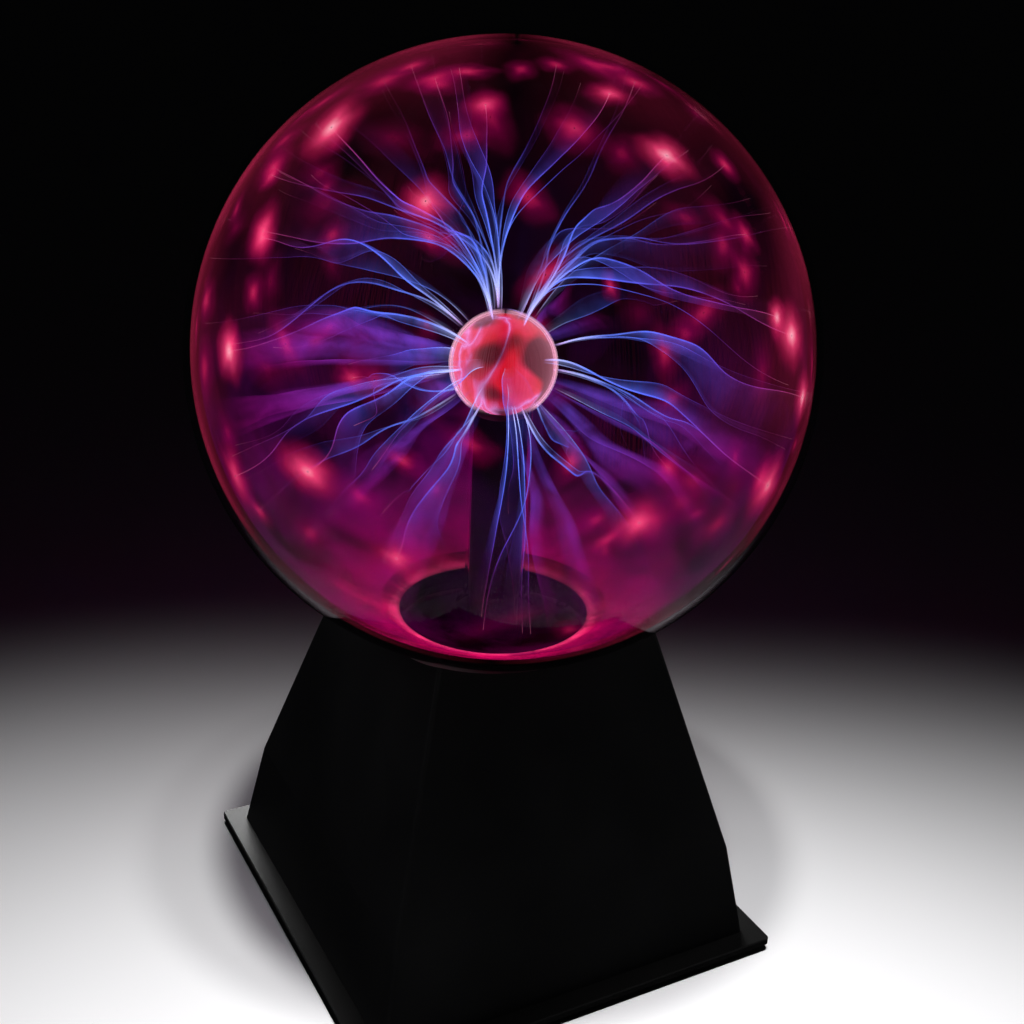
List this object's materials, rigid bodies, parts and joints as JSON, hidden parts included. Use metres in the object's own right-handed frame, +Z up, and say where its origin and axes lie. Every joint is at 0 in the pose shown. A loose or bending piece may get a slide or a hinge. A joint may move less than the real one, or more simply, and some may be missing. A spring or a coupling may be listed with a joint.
{
  "type": "plasma ball",
  "caption": "Sealed glass plasma globe with a glowing ball electrode on a black stem, seated in a square tapered black base with a thin square plinth plate.",
  "frame": {"origin": "on the floor, directly under the globe's centre", "axes": "+Z up through the globe's centre, +Y to the rear, where the power inlet and the switch are, +X to the right seen from the front"},
  "size_m": [0.2032, 0.2032, 0.3126],
  "materials": {
    "globe_glass": "gloss",
    "stem_glass": "gloss",
    "electrode_wool": "rough",
    "plasma": "gloss",
    "brass": "satin",
    "sleeve_rubber": "matte",
    "cap_plastic": "matte",
    "silicone": "satin",
    "gasket_rubber": "matte",
    "base_plastic": "satin",
    "plate_plastic": "satin",
    "foot_rubber": "matte",
    "screw_steel": "satin",
    "board": "satin",
    "ferrite": "matte",
    "bobbin_plastic": "matte",
    "potting": "gloss",
    "copper_wire": "satin",
    "lead_silicone": "satin",
    "aluminium": "satin",
    "package_epoxy": "matte",
    "can_sleeve": "gloss",
    "film_case": "gloss",
    "resistor_coat": "satin",
    "diode_body": "satin",
    "jack_plastic": "satin",
    "pin_metal": "gloss",
    "switch_plastic": "matte",
    "knob_plastic": "satin",
    "mic_can": "satin"
  },
  "bodies": {
    "base": {"globe_envelope": "globe_glass", "stem_glass": "stem_glass", "exhaust_tube": "stem_glass", "electrode_wool": "electrode_wool", "electrode_rod": "brass", "stem_sleeve": "sleeve_rubber", "neck_cap": "cap_plastic", "neck_sealant": "silicone", "globe_gasket": "gasket_rubber", "globe_clamp": "cap_plastic", "clamp_screws": "screw_steel", "base_shell": "base_plastic", "base_plate": "plate_plastic", "base_screws": "screw_steel", "foot_front_left": "foot_rubber", "foot_front_right": "foot_rubber", "foot_rear_right": "foot_rubber", "foot_rear_left": "foot_rubber", "circuit_board": "board", "board_screws": "screw_steel", "ferrite_core_lower": "ferrite", "ferrite_core_upper": "ferrite", "hv_bobbin": "bobbin_plastic", "hv_winding": "potting", "drive_bobbin": "bobbin_plastic", "drive_winding": "copper_wire", "hv_lead": "lead_silicone", "heat_sink": "aluminium", "power_transistor": "package_epoxy", "heat_sink_screw": "screw_steel", "supply_capacitor": "can_sleeve", "filter_capacitor": "can_sleeve", "film_capacitor": "film_case", "timer_chip": "package_epoxy", "resistors": "resistor_coat", "diodes": "diode_body", "choke_core": "ferrite", "choke_winding": "copper_wire", "power_jack": "jack_plastic", "power_jack_pin": "pin_metal", "switch_housing": "switch_plastic", "microphone": "mic_can", "microphone_boot": "gasket_rubber"},
    "switch_slider": {"switch_knob": "knob_plastic"}
  },
  "joints": [
    {"name": "switch_slide", "type": "slide", "parent": "base", "child": "switch_slider", "axis": [1, 0, 0], "range_m": [-0.0025, 0.0025]}
  ]
}
